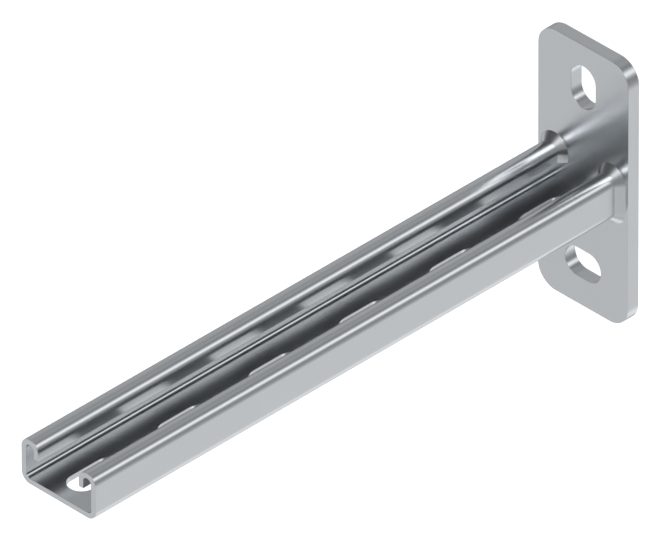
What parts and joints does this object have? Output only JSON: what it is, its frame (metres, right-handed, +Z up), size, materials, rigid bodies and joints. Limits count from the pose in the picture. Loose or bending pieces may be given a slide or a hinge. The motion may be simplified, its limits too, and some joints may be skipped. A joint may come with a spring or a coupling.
{
  "type": "cantilever strut arm",
  "caption": "Wall-mounted cantilever arm: a slotted, plain-lipped strut channel welded square to an upright plate with slotted fixing holes.",
  "frame": {"origin": "centre of the wall plate's back face, which lies against the wall", "axes": "+Y points into the wall, so the arm reaches out along -Y; +Z is up and the channel's mouth faces it; +X runs across the channel"},
  "size_m": [0.05, 0.296, 0.125],
  "materials": {
    "channel_zinc": "satin zinc plating on roll-formed strip",
    "plate_zinc": "satin zinc plating on flat bar",
    "weld_zinc": "zinc plating over a smooth weld"
  },
  "bodies": {
    "root": {"strut_channel": "channel_zinc", "wall_plate": "plate_zinc", "weld_bead": "weld_zinc"}
  },
  "joints": []
}
